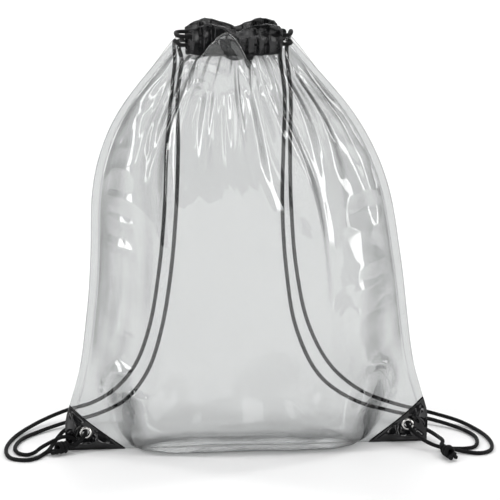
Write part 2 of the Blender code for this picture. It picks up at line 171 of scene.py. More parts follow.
# ---- Materials ----------------------------------------------------------------------
class Nodes:
    """Short calls for building a material's nodes; a value may be a number, socket or node."""

    def __init__(self, name):
        self.material = bpy.data.materials.new(name)
        self.material.use_nodes = True
        self.tree = self.material.node_tree
        self.shader = self.tree.nodes["Principled BSDF"]
        self.out = self.tree.nodes["Material Output"]

    def add(self, kind, inputs=None, **settings):
        node = self.tree.nodes.new(kind)
        for key, value in settings.items():
            setattr(node, key, value)
        for key, value in (inputs or {}).items():
            self.put(node.inputs[key], value)
        return node

    def put(self, socket, value):
        if isinstance(value, bpy.types.NodeSocket):
            self.tree.links.new(value, socket)
        elif isinstance(value, bpy.types.Node):
            self.tree.links.new(value.outputs[0], socket)
        else:
            socket.default_value = value

    def math(self, operation, a, b=0.0, c=0.0):
        return self.add("ShaderNodeMath", {0: a, 1: b, 2: c}, operation=operation).outputs[0]

    def ramp(self, value, low, high, to_low=0.0, to_high=1.0):
        inputs = {"Value": value, "From Min": low, "From Max": high, "To Min": to_low, "To Max": to_high}
        return self.add("ShaderNodeMapRange", inputs, clamp=True).outputs["Result"]

    def mix(self, factor, a, b):
        node = self.add("ShaderNodeMix", {0: factor, 6: a, 7: b}, data_type="RGBA")
        return node.outputs[2]

    def noise(self, scale, detail=2.0, stretch=(1, 1, 1)):
        place = self.add("ShaderNodeTexCoord").outputs["Object"]
        place = self.add("ShaderNodeMapping", {"Vector": place, "Scale": stretch}).outputs[0]
        inputs = {"Vector": place, "Scale": scale, "Detail": detail}
        return self.add("ShaderNodeTexNoise", inputs).outputs[0]

    def bump(self, height, distance, strength=1.0):
        inputs = {"Height": height, "Distance": distance, "Strength": strength}
        return self.add("ShaderNodeBump", inputs).outputs[0]


def film_material():
    """Clear PVC film: see-through face on, mirror-like and darker at a glancing angle."""
    n = Nodes("clear_film")
    n.tree.nodes.remove(n.shader)
    height = n.math("ADD", n.noise(14, 4), n.math("MULTIPLY", n.noise(160, 3), 0.02))
    bump = n.bump(height, 0.0012, 0.3)
    facing = n.add("ShaderNodeLayerWeight", {"Blend": 0.5, "Normal": bump}).outputs["Facing"]
    tint = n.mix(n.math("POWER", facing, 2.3), (0.885, 0.889, 0.889, 1), (0.05, 0.053, 0.055, 1))
    clear = n.add("ShaderNodeBsdfTransparent", {"Color": tint})
    mirror = n.add("ShaderNodeBsdfGlossy", {"Roughness": 0.05, "Normal": bump})
    share = n.math("MULTIPLY_ADD", n.math("POWER", facing, 3.5), 0.60, 0.055)
    both = n.add("ShaderNodeMixShader", {0: share, 1: clear.outputs[0], 2: mirror.outputs[0]})
    n.tree.links.new(both.outputs[0], n.out.inputs[0])
    return n.material


def hem_material():
    """Black polyester: a fine plain weave with a satin shine."""
    n = Nodes("black_hem")
    grain = n.noise(900, 2)
    creases = n.noise(90, 4)
    warp = n.noise(1, 0, (1800, 1800, 240))
    height = n.math("ADD", n.math("MULTIPLY", warp, 0.35), n.math("MULTIPLY", creases, 0.8))
    n.put(n.shader.inputs["Base Color"], n.mix(grain, (0.003, 0.003, 0.0035, 1), (0.009, 0.009, 0.010, 1)))
    n.put(n.shader.inputs["Roughness"], n.ramp(creases, 0.3, 0.7, 0.17, 0.30))
    n.put(n.shader.inputs["Normal"], n.bump(height, 0.0006, 0.6))
    n.shader.inputs["Specular IOR Level"].default_value = 0.45
    return n.material


def patch_material():
    """Black PVC sheet: a mirror-like skin that is not quite flat."""
    n = Nodes("black_pvc")
    waves = n.noise(45, 2)
    pores = n.noise(700, 3)
    scuffs = n.noise(220, 6, (1, 1, 3))
    n.put(n.shader.inputs["Base Color"], n.mix(scuffs, (0.003, 0.003, 0.0035, 1), (0.008, 0.008, 0.009, 1)))
    n.put(n.shader.inputs["Roughness"], n.ramp(scuffs, 0.45, 0.8, 0.05, 0.16))
    height = n.math("ADD", waves, n.math("MULTIPLY", pores, 0.02))
    n.put(n.shader.inputs["Normal"], n.bump(height, 0.0035, 0.5))
    n.shader.inputs["Specular IOR Level"].default_value = 0.5
    return n.material


def metal_material():
    """Nickel plate with faint turning marks."""
    n = Nodes("nickel")
    marks = n.noise(400, 4)
    n.put(n.shader.inputs["Base Color"], n.mix(marks, (0.62, 0.61, 0.59, 1), (0.80, 0.79, 0.77, 1)))
    n.put(n.shader.inputs["Roughness"], n.ramp(marks, 0.3, 0.8, 0.14, 0.32))
    n.put(n.shader.inputs["Normal"], n.bump(marks, 0.0002, 0.3))
    n.shader.inputs["Metallic"].default_value = 1.0
    return n.material


def braid_material():
    """Black braided polyester: the shine of single yarns on a dull cord, with painted shade in the braid's
    grooves.
    """
    n = Nodes("black_cord")
    place = n.add("ShaderNodeTexCoord").outputs["UV"]
    parts = n.add("ShaderNodeSeparateXYZ", {0: place})
    along, around = parts.outputs[0], parts.outputs[1]
    along = n.math("MULTIPLY", along, 2600.0)
    around = n.math("MULTIPLY", around, 50.2655)
    one, two = (n.math("SINE", n.math(way, along, around)) for way in ("ADD", "SUBTRACT"))
    weave = n.math("MULTIPLY", one, two)
    fuzz = n.noise(1500, 2)
    height = n.math("ADD", weave, n.math("MULTIPLY", fuzz, 0.6))
    # Painted shade: the base colour is darker down in the braid's grooves and lighter on the raised yarns.
    painted_groove_shade = n.ramp(height, -0.8, 1.2)
    n.put(n.shader.inputs["Base Color"], n.mix(painted_groove_shade, (0.0025, 0.0025, 0.0025, 1), (0.010, 0.010, 0.011, 1)))
    n.put(n.shader.inputs["Roughness"], n.ramp(fuzz, 0.3, 0.7, 0.55, 0.8))
    n.put(n.shader.inputs["Normal"], n.bump(height, 0.0003, 0.8))
    n.shader.inputs["Specular IOR Level"].default_value = 0.16
    return n.material


FILM_LOOK = film_material()
HEM_LOOK = hem_material()
PATCH_LOOK = patch_material()
METAL_LOOK = metal_material()
BRAID_LOOK = braid_material()


# ---- Building meshes ----------------------------------------------------------------
def add_mesh(name, points, faces, look, uv=None):
    """A smooth-shaded object; uv has a place for each point."""
    mesh = bpy.data.meshes.new(name)
    mesh.from_pydata([tuple(p) for p in points], [], faces)
    mesh.update()
    made = bpy.data.objects.new(name, mesh)
    bpy.context.collection.objects.link(made)
    mesh.materials.append(look)
    mesh.shade_smooth()
    if uv is not None:
        layer = mesh.uv_layers.new(name="UVMap")
        corners = np.empty(len(mesh.loops), dtype=int)
        mesh.loops.foreach_get("vertex_index", corners)
        layer.data.foreach_set("uv", np.asarray(uv)[corners].ravel())
    return made


def grid_faces(rows, columns, wrap=False):
    """The quads of a grid of rows by columns; wrap joins the last column to the first."""
    across = columns if wrap else columns - 1
    return [
        (
            r * columns + c,
            r * columns + (c + 1) % columns,
            (r + 1) * columns + (c + 1) % columns,
            (r + 1) * columns + c,
        )
        for r in range(rows - 1)
        for c in range(across)
    ]


def thicken(made, thickness, offset=0.0):
    """Gives a sheet its thickness, in its own mesh."""
    solid = made.modifiers.new("thickness", "SOLIDIFY")
    solid.thickness = thickness
    solid.offset = offset
    bpy.context.view_layer.update()
    whole = made.evaluated_get(bpy.context.evaluated_depsgraph_get())
    mesh = bpy.data.meshes.new_from_object(whole)
    made.modifiers.clear()
    made.data = mesh


def tube_rings(line, sides):
    """Rings round a cord's line, each turned as little as possible from the last."""
    along = np.gradient(line, axis=0)
    along /= np.linalg.norm(along, axis=1, keepdims=True)
    normal = np.cross(along[0], (0.31, 0.52, 0.8))
    rings = []
    for place, way in zip(line, along):
        normal = normal - way * (normal @ way)
        normal /= np.linalg.norm(normal)
        other = np.cross(way, normal)
        angle = 2 * np.pi * np.arange(sides) / sides
        ring = np.outer(np.cos(angle), normal) + np.outer(np.sin(angle), other)
        rings.append(place + CORD_RADIUS * ring)
    return np.array(rings)


def cord_tube(name, line, sides=12):
    """A braided cord along a line, its ends rounded off."""
    rings = tube_rings(line, sides)
    step = np.linalg.norm(np.diff(line, axis=0), axis=1)
    at = np.concatenate([[0], np.cumsum(step)])
    # The braid's crossing yarns stand a little proud.
    turn = 2 * np.pi * np.arange(sides) / sides
    phase = at[:, None] * 1450
    braid = np.sin(phase + 4 * turn) * np.sin(phase - 4 * turn)
    rings = line[:, None] + (rings - line[:, None]) * (1 + 0.045 * braid[..., None])
    caps = []
    for end, inward in ((0, 1), (-1, -1)):
        out = line[end] - line[end + inward]
        out /= np.linalg.norm(out)
        ring = rings[end] - line[end]
        caps.append([line[end] + ring * k + out * CORD_RADIUS * far for k, far in ((0.8, 0.3), (0.4, 0.5))])
    rings = np.concatenate([caps[0][::-1], rings, caps[1]])
    at = np.concatenate([[at[0] - 0.002, at[0] - 0.001], at, [at[-1] + 0.001, at[-1] + 0.002]])
    points = rings.reshape(-1, 3)
    faces = grid_faces(len(rings), sides, wrap=True)
    faces.append(tuple(reversed(range(sides))))
    faces.append(tuple(range(len(points) - sides, len(points))))
    uv = np.stack([np.repeat(at, sides), np.tile(0.5 + 0.5 * np.cos(turn), len(rings))], axis=1)
    return add_mesh(name, points, faces, BRAID_LOOK, uv=uv)


# ---- Routes of the cords, as in the frame -------------------------------------------
# By the neck, each point is (out from the neck's middle, y, up from the cord's height).
EXIT = {
    "front": (
        (0.0486, -0.0180, 0.0000),
        (0.0512, -0.0180, 0.0000),
        (0.0537, -0.0160, 0.0005),
        (0.0560, -0.0085, 0.0015),
        (0.0570, 0.0030, 0.0015),
        (0.0570, 0.0140, -0.0020),
        (0.0565, 0.0235, -0.0100),
        (0.0555, 0.0290, -0.0200),
    ),
    "back": (
        (0.0486, 0.0180, 0.0000),
        (0.0512, 0.0180, 0.0000),
        (0.0525, 0.0210, -0.0020),
        (0.0515, 0.0265, -0.0100),
        (0.0490, 0.0305, -0.0200),
    ),
}
# Round the casings' far end, from the front to the back
TURN = (
    (0.0430, -0.0180, 0.0000),
    (0.0512, -0.0180, 0.0000),
    (0.0548, -0.0130, 0.0000),
    (0.0560, 0.0000, 0.0000),
    (0.0548, 0.0130, 0.0000),
    (0.0512, 0.0180, 0.0000),
    (0.0430, 0.0180, 0.0000),
)
# From the casings' ends, down behind the bag, round the corners and into the knots
LEFT_FRONT = (
    (-0.0732, 0.0365, 0.3550),
    (-0.0775, 0.0480, 0.3000),
    (-0.0800, 0.0555, 0.2350),
    (-0.0860, 0.0605, 0.1700),
    (-0.0960, 0.0670, 0.1100),
    (-0.1110, 0.0800, 0.0650),
    (-0.1320, 0.0920, 0.0360),
    (-0.1560, 0.0990, 0.0195),
    (-0.1826, 0.0993, 0.0118),
    (-0.2090, 0.0830, 0.0060),
    (-0.2366, 0.0406, 0.0022),
    (-0.2449, -0.0050, 0.0022),
    (-0.2385, -0.0296, 0.0022),
    (-0.2235, -0.0357, 0.0022),
    (-0.2140, -0.0300, 0.0022),
    (-0.2070, -0.0180, 0.0022),
    (-0.2020, -0.0060, 0.0022),
    (-0.1975, 0.0040, 0.0050),
    (-0.1920, 0.0100, 0.0110),
    (-0.1850, 0.0130, 0.0170),
    (-0.1770, 0.0130, 0.0195),
    (-0.1690, 0.0100, 0.0190),
    (-0.1645, 0.0040, 0.0183),
    (-0.1645, -0.0035, 0.0183),
    (-0.1665, -0.0085, 0.0165),
    (-0.1710, -0.0110, 0.0120),
    (-0.1749, -0.0109, 0.0086),
    (-0.1776, -0.0122, 0.0075),
    (-0.1803, -0.0135, 0.0075),
)
LEFT_BACK = (
    (-0.0668, 0.0375, 0.3550),
    (-0.0660, 0.0495, 0.3000),
    (-0.0680, 0.0570, 0.2350),
    (-0.0735, 0.0610, 0.1700),
    (-0.0830, 0.0650, 0.1100),
    (-0.0980, 0.0740, 0.0600),
    (-0.1210, 0.0830, 0.0270),
    (-0.1500, 0.0850, 0.0115),
    (-0.1829, 0.0780, 0.0052),
    (-0.2100, 0.0580, 0.0026),
    (-0.2290, 0.0334, 0.0022),
    (-0.2360, 0.0030, 0.0022),
    (-0.2310, -0.0150, 0.0022),
    (-0.2227, -0.0190, 0.0022),
    (-0.2165, -0.0170, 0.0035),
    (-0.2100, -0.0130, 0.0070),
    (-0.2030, -0.0095, 0.0100),
    (-0.1960, -0.0065, 0.0125),
    (-0.1890, -0.0048, 0.0150),
    (-0.1825, -0.0042, 0.0153),
    (-0.1770, -0.0042, 0.0130),
    (-0.1752, -0.0052, 0.0096),
    (-0.1768, -0.0067, 0.0077),
    (-0.1797, -0.0079, 0.0075),
    (-0.1824, -0.0092, 0.0075),
)
RIGHT_FRONT = (
    (0.0467, 0.0365, 0.3550),
    (0.0476, 0.0490, 0.3000),
    (0.0500, 0.0575, 0.2350),
    (0.0560, 0.0615, 0.1700),
    (0.0690, 0.0645, 0.1100),
    (0.0940, 0.0690, 0.0620),
    (0.1270, 0.0720, 0.0330),
    (0.1620, 0.0710, 0.0185),
    (0.1956, 0.0636, 0.0110),
    (0.2248, 0.0500, 0.0050),
    (0.2390, 0.0310, 0.0022),
    (0.2472, -0.0017, 0.0022),
    (0.2465, -0.0317, 0.0022),
    (0.2403, -0.0475, 0.0022),
    (0.2296, -0.0530, 0.0022),
    (0.2152, -0.0480, 0.0026),
    (0.2060, -0.0445, 0.0040),
    (0.2000, -0.0450, 0.0062),
    (0.1960, -0.0484, 0.0075),
    (0.1967, -0.0513, 0.0075),
)
RIGHT_BACK = (
    (0.0407, 0.0380, 0.3550),
    (0.0410, 0.0505, 0.3000),
    (0.0410, 0.0585, 0.2350),
    (0.0455, 0.0620, 0.1700),
    (0.0565, 0.0645, 0.1050),
    (0.0820, 0.0680, 0.0520),
    (0.1180, 0.0690, 0.0245),
    (0.1570, 0.0645, 0.0125),
    (0.1941, 0.0543, 0.0065),
    (0.2216, 0.0322, 0.0030),
    (0.2337, 0.0096, 0.0022),
    (0.2351, -0.0108, 0.0022),
    (0.2277, -0.0330, 0.0022),
    (0.2180, -0.0370, 0.0022),
    (0.2090, -0.0374, 0.0025),
    (0.2020, -0.0385, 0.0032),
    (0.1950, -0.0390, 0.0045),
    (0.1870, -0.0380, 0.0065),
    (0.1783, -0.0325, 0.0095),
    (0.1700, -0.0200, 0.0135),
    (0.1655, -0.0090, 0.0170),
    (0.1645, -0.0035, 0.0183),
    (0.1645, 0.0035, 0.0183),
    (0.1665, 0.0085, 0.0183),
    (0.1720, 0.0115, 0.0155),
    (0.1785, 0.0115, 0.0120),
    (0.1850, 0.0090, 0.0090),
    (0.1892, 0.0030, 0.0080),
    (0.1925, -0.0080, 0.0080),
    (0.1942, -0.0200, 0.0090),
    (0.1948, -0.0310, 0.0105),
    (0.1945, -0.0385, 0.0108),
    (0.1920, -0.0450, 0.0090),
    (0.1914, -0.0496, 0.0075),
    (0.1921, -0.0525, 0.0075),
)
STRANDS = {
    LEFT: {"front": LEFT_FRONT, "back": LEFT_BACK},
    RIGHT: {"front": RIGHT_FRONT, "back": RIGHT_BACK},
}
# (middle, direction from the standing ends to the cut ends)
KNOTS = {
    LEFT: ((-0.1890, -0.0150, 0.0075), (-0.90, -0.43, 0)),
    RIGHT: ((0.1965, -0.0600, 0.0075), (0.25, -0.97, 0)),
}


def by_the_neck(points, hand, height):
    """Points of EXIT or TURN, at one end of the neck."""
    return [(NECK_SHIFT + hand * out, y, height + up) for out, y, up in points]


def make_strand(hand, side):
    """A cord from its casing, round the casing's end, down behind the bag and into its knot."""
    side_name = SIDES[side]
    label = f"{HANDS[hand]}_cord_{side_name}_strand"
    fine = curve_through(by_the_neck(EXIT[side_name], hand, CORD_Z[hand]) + list(STRANDS[hand][side_name]))
    length = length_of(fine)
    line = evenly(fine, 3 * int(length / 0.0033) + 1)
    made = cord_tube(label + "_braid", line)
    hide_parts(label)
    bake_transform(made)


def make_run(hand, side):
    """The cord inside a casing."""
    label = f"{HANDS[hand]}_cord_{SIDES[side]}_run"
    ends = [(NECK_SHIFT + end * RUN_END, side * RUN_Y, CORD_Z[hand]) for end in (-1, 1)]
    made = cord_tube(label + "_braid", evenly(ends, 100))
    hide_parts(label)
    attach(made, "mouth_" + SIDES[side])


def make_turn(hand):
    """The cord round the casings' far end, in two halves: one from the front casing's end, one from the
    back's.
    """
    label = HANDS[hand] + "_cord_turn"
    line = evenly(curve_through(by_the_neck(TURN, -hand, CORD_Z[hand])), 61)
    for side_name, part in (("front", line[:32]), ("back", line[30:][::-1])):
        made = cord_tube(f"{label}_{side_name}", part)
        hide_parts(label)
        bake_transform(made)


def make_knot(hand):
    """Both ends tied together: two cords wound side by side, their cut ends just beyond."""
    centre, way = (Vector(v) for v in KNOTS[hand])
    way.normalize()
    wide = way.cross(Vector((0, 0, 1))).normalized()
    up = wide.cross(way)
    turns, reach, pitch, lead = 1.6, 0.0043, 0.0080, 0.0088
    made = []
    for k, apart in enumerate((-1, 1)):
        wound = []
        for t in np.linspace(0, 1, 25):
            angle = 2 * math.pi * turns * t + 0.6
            along = (t - 0.5) * pitch * (turns - 0.5) + 0.002 * apart
            r = reach * (1 + 0.06 * math.sin(3 * angle + apart))
            wound.append(centre + way * along + wide * (r * math.sin(angle)) + up * (r * math.cos(angle)))
        start = centre - way * lead + wide * (0.0024 * apart)
        tail = centre + way * (0.0125 + 0.0015 * k) + wide * (0.0030 * apart) - up * 0.0030
        whole = [start, start + way * 0.002] + wound + [tail - way * 0.0035, tail]
        line = evenly(curve_through(whole), 130)
        # It lies on the floor.
        line[:, 2] = np.maximum(line[:, 2], CORD_RADIUS + 0.0001)
        piece = cord_tube(f"{HANDS[hand]}_cord_knot_{'ab'[k]}", line)
        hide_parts(HANDS[hand] + "_cord_knot")
        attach(piece, "bag")
        made.append(piece)
    return made


for hand in (LEFT, RIGHT):
    pieces = make_knot(hand)
    for side in (FRONT, BACK):
        make_strand(hand, side)
        make_run(hand, side)
    make_turn(hand)


# ---- Film ---------------------------------------------------------------------------
FILM = 0.0003
OUTLINE_FINE = np.array([(p.x, p.y) for p in curve_through([(h, w, 0) for h, w in OUTLINE])])
PROFILE_FINE = np.array(
    [(0, 0), (BASE_DEPTH / 2, 0)] + [(p.x, p.y) for p in curve_through([(d, h, 0) for d, h in PROFILE])]
)
PROFILE_ALONG = np.concatenate([[0], np.cumsum(np.linalg.norm(np.diff(PROFILE_FINE, axis=0), axis=1))])


def half_width(height):
    """Of the side seam's outer edge."""
    return np.interp(height, OUTLINE_FINE[:, 0], OUTLINE_FINE[:, 1])


def film_surface(side, x_share, height):
    """Points of a panel's mid-surface, as the frame has it; height is along the side seam."""
    half = half_width(height)
    inside = half - SEAM_MARGIN
    x = half * x_share
    s = np.minimum(np.abs(x) / inside, 1.0)
    at = height / SEAM_TOP * PROFILE_ALONG[-1]
    depth = np.interp(at, PROFILE_ALONG, PROFILE_FINE[:, 0])
    middle_height = np.interp(at, PROFILE_ALONG, PROFILE_FINE[:, 1])
    fullness = (1 - s**2.6) ** 0.85
    from_corner = (half - np.abs(x)) + height
    opened = smooth((from_corner - SEWN_CORNER) / CORNER_OPENS)
    middle = 1 - smooth((s - FLAT_BASE) / (UPRIGHT - FLAT_BASE))
    above = smooth((height - 0.060) / 0.100)
    middle = middle * (1 - above) + (1 - s * s) * above
    at_neck = smooth((height - 0.330) / 0.060)
    middle = middle * (1 - at_neck) + (1 - smooth((s - 0.78) / 0.22)) * at_neck
    y = side * (GAP / 2 + FILM / 2 + depth * fullness * opened)
    z = FILM / 2 + height * (1 - middle) + middle_height * middle
    lean = NECK_SHIFT * smooth((height - 0.150) / 0.250)
    return np.stack([x + lean, y, z], axis=-1), s, from_corner


def hem_wave(x, seed):
    """The gathers' in-and-out along the neck, from -1 to 1, for x in metres from its middle."""
    phase = 2 * np.pi * x / 0.0105 + 1.4 * noise2(x * 55 + 7, x * 0 + 0.5, seed)
    size = 0.62 + 0.38 * noise2(x * 70 + 3, x * 0 + 2.5, seed + 1)
    return size * np.sin(phase + 0.45 * np.sin(phase))


def ridged(x, y, seed):
    """Creased noise: flat facets that meet in sharp folds."""
    return 1 - 2 * np.abs(noise2(x, y, seed))


def sampled(grid, row, column):
    """A grid's values at fractional rows and columns, on smooth curves through its points."""

    def weights(t):
        return (
            -0.5 * t + t**2 - 0.5 * t**3,
            1 - 2.5 * t**2 + 1.5 * t**3,
            0.5 * t + 2 * t**2 - 1.5 * t**3,
            -0.5 * t**2 + 0.5 * t**3,
        )

    rows, columns = grid.shape[:2]
    r = np.clip(np.floor(row).astype(int), 0, rows - 2)
    c = np.clip(np.floor(column).astype(int), 0, columns - 2)
    total = 0
    for i, across in zip((-1, 0, 1, 2), weights(row - r)):
        for j, along in zip((-1, 0, 1, 2), weights(column - c)):
            value = grid[np.clip(r + i, 0, rows - 1), np.clip(c + j, 0, columns - 1)]
            total = total + (across * along)[..., None] * value
    return total


def settle(start, flat, pinned, pressure):
    """Cloth simulation of a sheet that is gathered from its flat shape."""
    rows, columns = start.shape[:2]
    made = add_mesh("film", start.reshape(-1, 3), grid_faces(rows, columns), FILM_LOOK)
    made.shape_key_add(name="Basis")
    key = made.shape_key_add(name="flat")
    key.data.foreach_set("co", flat.reshape(-1))
    group = made.vertex_groups.new(name="held")
    group.add([int(v) for v in np.flatnonzero(pinned.reshape(-1))], 1.0, "REPLACE")
    cloth = made.modifiers.new("cloth", "CLOTH")
    settings = cloth.settings
    settings.quality = 4
    settings.mass = 0.15
    settings.tension_stiffness = 40
    settings.compression_stiffness = 40
    settings.shear_stiffness = 20
    settings.bending_stiffness = 0.05
    settings.tension_damping = 5
    settings.compression_damping = 5
    settings.shear_damping = 5
    settings.bending_damping = 0.1
    settings.air_damping = 1
    settings.vertex_group_mass = "held"
    settings.rest_shape_key = key
    settings.use_pressure = True
    settings.uniform_pressure_force = pressure
    settings.effector_weights.gravity = 0
    cloth.collision_settings.use_collision = False
    cloth.collision_settings.use_self_collision = False
    cloth.point_cache.frame_start = 1
    cloth.point_cache.frame_end = CLOTH_FRAMES
    for frame_number in range(1, CLOTH_FRAMES + 1):
        bpy.context.scene.frame_set(frame_number)
    whole = made.evaluated_get(bpy.context.evaluated_depsgraph_get())
    found = np.empty(rows * columns * 3)
    whole.data.vertices.foreach_get("co", found)
    bpy.context.scene.frame_set(1)
    bpy.data.objects.remove(made)
    return found.reshape(rows, columns, 3)


def pleats(x_share, h, count, top, fade, seed):
    """Folds that run down the film from the neck: count of them, deepest at height top."""
    x = x_share * count / 2 + 0.55 * noise2(x_share * count * 0.7 + 9, h * 5, seed)
    wave = noise2(x * 2, h * 2.2, seed + 1)
    sharp = np.sign(wave) * (1 - (1 - np.abs(wave)) ** 1.5)
    return sharp * np.exp(-(((h - top) / fade) ** 2))


def gathers(x_share, h, seed):
    """How far the sheet's spare width first pushes it out of its smooth shape."""
    at_hem = smooth((h - 0.35) / 0.05)
    out = 0.0036 * at_hem * hem_wave(x_share * 0.061, seed)
    out = out + 0.0060 * pleats(x_share, h, 12, 0.37, 0.055, seed + 30) * (1 - smooth((h - 0.37) / 0.03))
    out = out + 0.0085 * pleats(x_share, h, 7, 0.31, 0.085, seed + 40) * (1 - at_hem)
    return out + 0.0050 * pleats(x_share, h, 5, 0.19, 0.110, seed + 50)


# The flat sheet of one panel, and how its folding is worked out
SHEET_WIDTH, SHEET_HEIGHT = 0.370, 0.445
MOST_GATHERED = 1.6  # the sheet's width, as a multiple of the arc that it is drawn in to
FILM_PRESSURE = 0.15
CLOTH_FRAMES = 16
FOLD_REACH = 0.011  # the furthest that a fold moves from the smooth shape
CORD_ROOM = 0.002  # and how far the back panel moves towards the cords


def folds(side):
    """How the film folds away from the smooth panel, over a grid of its height and width."""
    rows, columns = 121, 111
    x_share, h = np.meshgrid(np.linspace(-1, 1, columns), np.linspace(0, SEAM_TOP, rows))
    start, s, from_corner = film_surface(side, x_share, h)
    plain_surface = start.copy()
    across = np.linalg.norm(np.diff(start, axis=1), axis=2).sum(axis=1) / 2
    half_flat = np.minimum(SHEET_WIDTH / 2, across * MOST_GATHERED)[:, None]
    flat = np.stack([x_share * half_flat, 0 * h, h / SEAM_TOP * SHEET_HEIGHT], axis=-1)
    seed = 21 if side == FRONT else 22
    free = (1 - smooth((s - 0.86) / 0.14)) * smooth((from_corner - 0.080) / 0.060)
    start[..., 1] += side * free * gathers(x_share, h, seed)
    pinned = (s > 0.985) | (h > 0.396) | (h < 0.016) | (from_corner < 0.072)
    # The faces of both panels look the same way, so the pressure's sign is the side's.
    moved = settle(start, flat, pinned, FILM_PRESSURE * side) - plain_surface
    if side == BACK:
        moved[..., 1] = np.minimum(moved[..., 1], CORD_ROOM)
    reach = np.linalg.norm(moved, axis=2, keepdims=True)
    return moved * FOLD_REACH / np.maximum(reach, FOLD_REACH)


def body_folds(x, h, out, seed):
    """Soft dents in the film's middle, and sharp creases that run up from its two corners."""
    low = 1 - smooth((h - 0.26) / 0.06)
    dents = 0.0036 * noise2(x / 0.050 + 3, h / 0.075 + 5, seed + 10) * low
    dents = dents + 0.0019 * noise2(x / 0.021, h / 0.046, seed + 11) * low
    reach = np.hypot(BAG_WIDTH / 2 - out, h)
    angle = np.arctan2(h, BAG_WIDTH / 2 - out + 0.001)
    spread = angle * 4.2 + 0.3 * noise2(reach / 0.030, x * 0 + 2, seed + 12) + 3 * np.sign(x)
    fan = ridged(spread, reach / 0.13, seed + 13)
    near = smooth((reach - 0.055) / 0.03) * (1 - smooth((reach - 0.10) / 0.10))
    side_pulls = ridged(h / 0.022 + 1.5 * np.sign(x), out / 0.06, seed + 14)
    at_seam = smooth((out / half_width(h) - 0.62) / 0.2) * smooth((h - 0.10) / 0.05)
    return dents + 0.0036 * near * fan + 0.0019 * at_seam * side_pulls


def shoulder(x_share, h):
    """The film's top corners, pulled up and in by the casings' ends."""
    pulled = smooth((h - 0.386) / 0.022) * smooth((np.abs(x_share) - 0.76) / 0.14)
    return np.stack([-0.006 * pulled * np.sign(x_share), 0 * h, 0.0065 * pulled], axis=-1)


# The front film stands up over the casing in a loose fold: from where to where along
# the neck, and its way there as (how far along the fold, y, z).
BILLOW_ENDS = (-0.046, 0.015)
BILLOW_FROM, BILLOW_TO = 0.370, SEAM_TOP
BILLOW = (
    (0.00, -0.0300, 0.3700),
    (0.18, -0.0312, 0.3850),
    (0.36, -0.0326, 0.4045),
    (0.48, -0.0332, 0.4215),
    (0.53, -0.0323, 0.4255),
    (0.58, -0.0308, 0.4263),
    (0.63, -0.0297, 0.4235),
    (0.78, -0.0292, 0.4085),
    (0.90, -0.0228, 0.4000),
    (1.00, -0.0150, 0.4025),
)


def billow(points, h):
    """The front film's points, with the part between BILLOW_ENDS led along BILLOW."""
    path = np.array(BILLOW)
    t = (h - BILLOW_FROM) / (BILLOW_TO - BILLOW_FROM)
    x = points[..., 0] - NECK_SHIFT
    left, right = BILLOW_ENDS
    u = np.clip((x - left) / (right - left), 0, 1)
    # It leans: high and rounded on its inner side, running out slowly on the outer one.
    size = np.sin(math.pi * u**1.35) ** 0.8 * (t > 0)
    begun = smooth(np.clip(t, 0, 1) * 6)
    rising = 1 - smooth((t - 0.5) / 0.1)
    y, z = (np.interp(np.clip(t, 0, 1), path[:, 0], path[:, k]) for k in (1, 2))
    y = y - 0.0042 * np.maximum(ridged(x * 55 + t * 3.5, t * 2.2, 91), 0) * rising
    z = z + 0.0034 * smooth((t - 0.66) / 0.2) * noise2(x * 62, x * 0 + 6.5, 92)
    found = points.copy()
    found[..., 1] += (y - points[..., 1]) * np.clip(size * 3.0, 0, 1) * begun
    found[..., 2] += (z - points[..., 2]) * size * begun
    return found


def make_panel(side):
    """A panel's film: its folds, creases, dents and pressed welds, on a fine grid."""
    label = SIDES[side] + "_panel"
    moved = folds(side)
    # The columns are close together across the welded margin.
    band = np.concatenate([np.arange(0, 7) * 0.001, np.linspace(0.007, 0.0095, 6), [0.011]])
    inner = np.linspace(-1, 1, 241)[1:-1]
    height = np.linspace(0, SEAM_TOP, 281)
    half = half_width(height)[:, None]
    parts = [-1 + band / half, inner * (1 - 0.0115 / half), (1 - band / half)[:, ::-1]]
    x_share = np.concatenate(parts, axis=1)
    h = np.repeat(height[:, None], x_share.shape[1], axis=1)
    points, s, from_corner = film_surface(side, x_share, h)
    rows, columns = moved.shape[:2]
    points += sampled(moved, h / SEAM_TOP * (rows - 1), (x_share + 1) / 2 * (columns - 1))
    seed = 71 if side == FRONT else 72
    free = (1 - smooth((s - 0.90) / 0.10)) * smooth((from_corner - 0.075) / 0.030)
    creased = ridged(x_share * 14 + noise2(x_share * 5, h * 20, seed), h * 9, seed + 1) - 0.2
    higher_up = 0.35 + 0.65 * smooth((h - 0.20) / 0.15)
    points[..., 1] += side * 0.0006 * free * higher_up * np.maximum(creased, 0)
    points[..., 1] += side * free * body_folds(points[..., 0], h, half * np.abs(x_share), seed)
    points += shoulder(x_share, h)
    points[..., 2] += (0.0055 if side == FRONT else 0.0015) * smooth((h - 0.385) / 0.020)
    if side == FRONT:
        points = billow(points, h)
    # The weld is pressed into the film a little inside each side edge.
    from_edge = half * (1 - np.abs(x_share))
    weld = np.exp(-(((from_edge - SEAM_MARGIN) / 0.0007) ** 2))
    points[..., 1] += side * 0.0011 * weld
    edge = 1 - smooth(from_edge / 0.0012)
    points[..., 1] += side * 0.0009 * edge * smooth((from_corner - 0.075) / 0.020)
    points[..., 1] = side * np.maximum(side * points[..., 1], GAP / 2 + FILM / 2)
    points[..., 2] = np.maximum(points[..., 2], FILM / 2)
    made = add_mesh(label + "_film", points.reshape(-1, 3), grid_faces(*h.shape), FILM_LOOK)
    thicken(made, FILM)
    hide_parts(label)
    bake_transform(made)


for side in (FRONT, BACK):
    make_panel(side)


